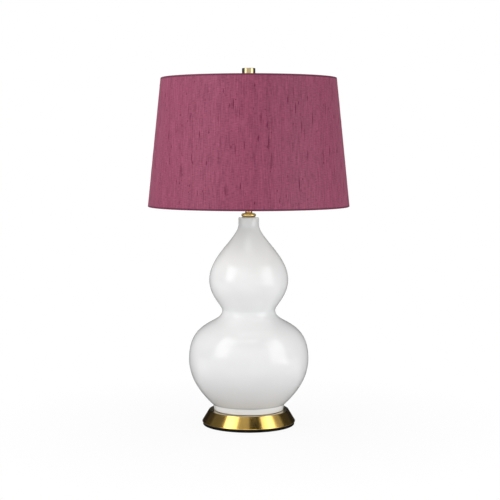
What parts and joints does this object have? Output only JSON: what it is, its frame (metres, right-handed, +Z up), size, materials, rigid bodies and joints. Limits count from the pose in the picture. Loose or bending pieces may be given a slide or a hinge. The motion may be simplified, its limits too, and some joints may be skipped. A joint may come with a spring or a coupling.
{
  "type": "bedside lamp",
  "caption": "Table lamp with a double-gourd glazed body on a brass plinth, a tapered fabric shade on a wire harp, a finial, a lampholder and a bulb.",
  "frame": {"origin": "centre of the base on the surface that the lamp stands on", "axes": "+Z up along the lamp's axis, -Y towards the front, the cord outlet at the back on +Y"},
  "size_m": [0.3796, 0.3796, 0.6739],
  "materials": {
    "black_pad": "matte",
    "cast_iron": "bare",
    "aged_brass": "brushed and lacquered",
    "polished_brass": "polished",
    "white_glaze": "gloss glaze",
    "clear_gasket": "matte",
    "zinc_steel": "zinc plated",
    "black_plastic": "moulded",
    "white_nylon": "moulded",
    "nickel_steel": "nickel plated",
    "wire_brown": "sleeved",
    "wire_blue": "sleeved",
    "wire_green": "sleeved",
    "grey_fibre": "pressed",
    "dark_bakelite": "moulded",
    "opal_glass": "opal",
    "clear_glass": "clear",
    "black_vitrite": "glassy",
    "tungsten": "drawn",
    "plum_silk": "slubbed silk",
    "white_liner": "smooth",
    "white_wire": "powder coated"
  },
  "bodies": {
    "lamp_base": {"base_pad": "black_pad", "base_weight": "cast_iron", "base_plinth": "aged_brass", "cord_bush": "black_plastic", "foot_gasket": "clear_gasket", "ceramic_body": "white_glaze", "threaded_rod": "zinc_steel", "rod_washer": "zinc_steel", "lock_washer": "zinc_steel", "rod_nut": "zinc_steel", "terminal_block": "white_nylon", "block_screws": "zinc_steel", "live_wire": "wire_brown", "neutral_wire": "wire_blue", "earth_wire": "wire_green", "mouth_gasket": "clear_gasket", "vase_cap": "polished_brass", "neck_sleeve": "polished_brass", "neck_screw": "polished_brass", "harp_saddle": "polished_brass", "holder_cap": "polished_brass", "holder_shell": "polished_brass", "holder_liner": "grey_fibre", "holder_core": "dark_bakelite", "terminal_screws": "nickel_steel", "screw_shell": "nickel_steel", "centre_contact": "nickel_steel"},
    "harp": {"harp_bow": "polished_brass", "harp_stud": "polished_brass"},
    "ferrule_left": {"ferrule_left": "polished_brass"},
    "ferrule_right": {"ferrule_right": "polished_brass"},
    "shade_seat": {"seat_washer": "polished_brass"},
    "shade": {"shade_fabric": "plum_silk", "shade_liner": "white_liner", "top_ring": "white_wire", "bottom_ring": "white_wire", "spider_arm_1": "polished_brass", "spider_arm_2": "polished_brass", "spider_arm_3": "polished_brass", "spider_hub": "polished_brass"},
    "finial_insert": {"finial_bush": "nickel_steel"},
    "finial": {"finial_knob": "aged_brass"},
    "bulb_tip": {"bulb_contact": "nickel_steel"},
    "bulb": {"bulb_glass": "opal_glass", "bulb_cap": "nickel_steel", "bulb_insulator": "black_vitrite", "bulb_stem": "clear_glass", "bulb_filament": "tungsten"},
    "switch": {"switch_shaft": "nickel_steel", "switch_knob": "dark_bakelite"}
  },
  "joints": [
    {"name": "harp_lift", "type": "slide", "parent": "lamp_base", "child": "harp", "axis": [0, 0, 1], "range_m": [0, 0.015]},
    {"name": "ferrule_left_slide", "type": "slide", "parent": "harp", "child": "ferrule_left", "axis": [0, 0, 1], "range_m": [0, 0.012]},
    {"name": "ferrule_right_slide", "type": "slide", "parent": "harp", "child": "ferrule_right", "axis": [0, 0, 1], "range_m": [0, 0.012]},
    {"name": "shade_lift", "type": "slide", "parent": "harp", "child": "shade_seat", "axis": [0, 0, 1], "range_m": [0, 0.25]},
    {"name": "shade_swivel", "type": "hinge", "parent": "shade_seat", "child": "shade", "pos_m": [0, 0, 0.6424], "axis": [0, 0, 1], "continuous": true},
    {"name": "finial_rise", "type": "slide", "parent": "shade_seat", "child": "finial_insert", "axis": [0, 0, 1], "range_m": [0, 0.0095]},
    {"name": "finial_turn", "type": "hinge", "parent": "finial_insert", "child": "finial", "pos_m": [0, 0, 0.66], "axis": [0, 0, 1], "range_deg": [0, 3600]},
    {"name": "bulb_rise", "type": "slide", "parent": "lamp_base", "child": "bulb_tip", "axis": [0, 0, 1], "range_m": [0, 0.0182]},
    {"name": "bulb_turn", "type": "hinge", "parent": "bulb_tip", "child": "bulb", "pos_m": [0, 0, 0.5], "axis": [0, 0, 1], "range_deg": [0, 1800]},
    {"name": "switch_turn", "type": "hinge", "parent": "lamp_base", "child": "switch", "pos_m": [0, -0.03, 0.442], "axis": [0, -1, 0], "continuous": true}
  ],
  "couplings": [
    {"joint": "finial_rise", "follows": "finial_turn", "m_per_rad": 0.00014972},
    {"joint": "bulb_rise", "follows": "bulb_turn", "m_per_rad": 0.00057757}
  ]
}
